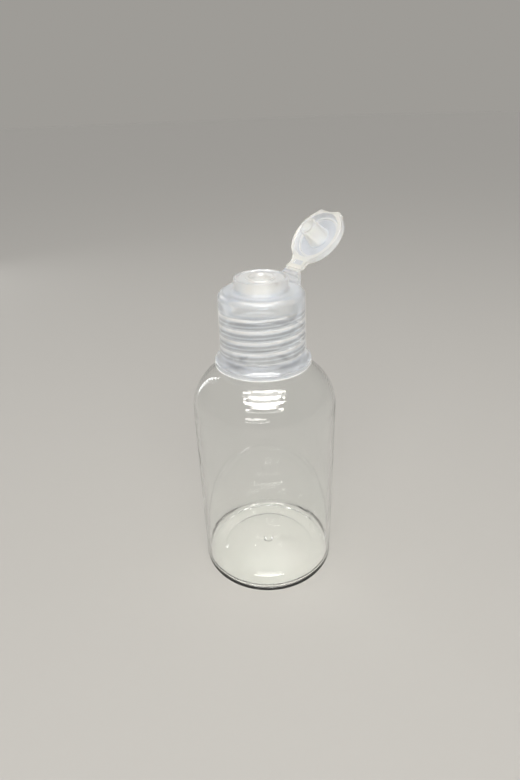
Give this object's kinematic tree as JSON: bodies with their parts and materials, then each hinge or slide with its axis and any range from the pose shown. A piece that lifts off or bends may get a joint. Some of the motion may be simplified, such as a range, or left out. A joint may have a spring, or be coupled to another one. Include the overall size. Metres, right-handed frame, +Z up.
{
  "type": "flip-top bottle",
  "caption": "Small clear round squeeze bottle with domed shoulders and a translucent screw cap whose hinged lid stands open above a plugged spout.",
  "frame": {"origin": "centre of the base, on the surface that the bottle stands on", "axes": "+Z up the bottle's axis; +Y towards the hinge of the lid, so the thumb edge of the closed lid faces -Y; +X along the hinge line"},
  "size_m": [0.0432, 0.0482, 0.1116],
  "materials": {
    "clear_pet": "clear blown plastic, glossy",
    "natural_pp": "unpigmented milky translucent plastic, satin gloss"
  },
  "bodies": {
    "bottle": {"bottle": "clear_pet"},
    "cap_body": {"cap_body": "natural_pp"},
    "flip_lid": {"flip_lid": "natural_pp"}
  },
  "joints": [
    {"name": "cap_lift", "type": "slide", "parent": "bottle", "child": "cap_body", "axis": [0, 0, 1], "range_m": [0, 0.026]},
    {"name": "lid_flip", "type": "hinge", "parent": "cap_body", "child": "flip_lid", "pos_m": [0, 0.0116, 0.09747], "axis": [-1, 0, 0], "range_deg": [-133, 42]}
  ]
}
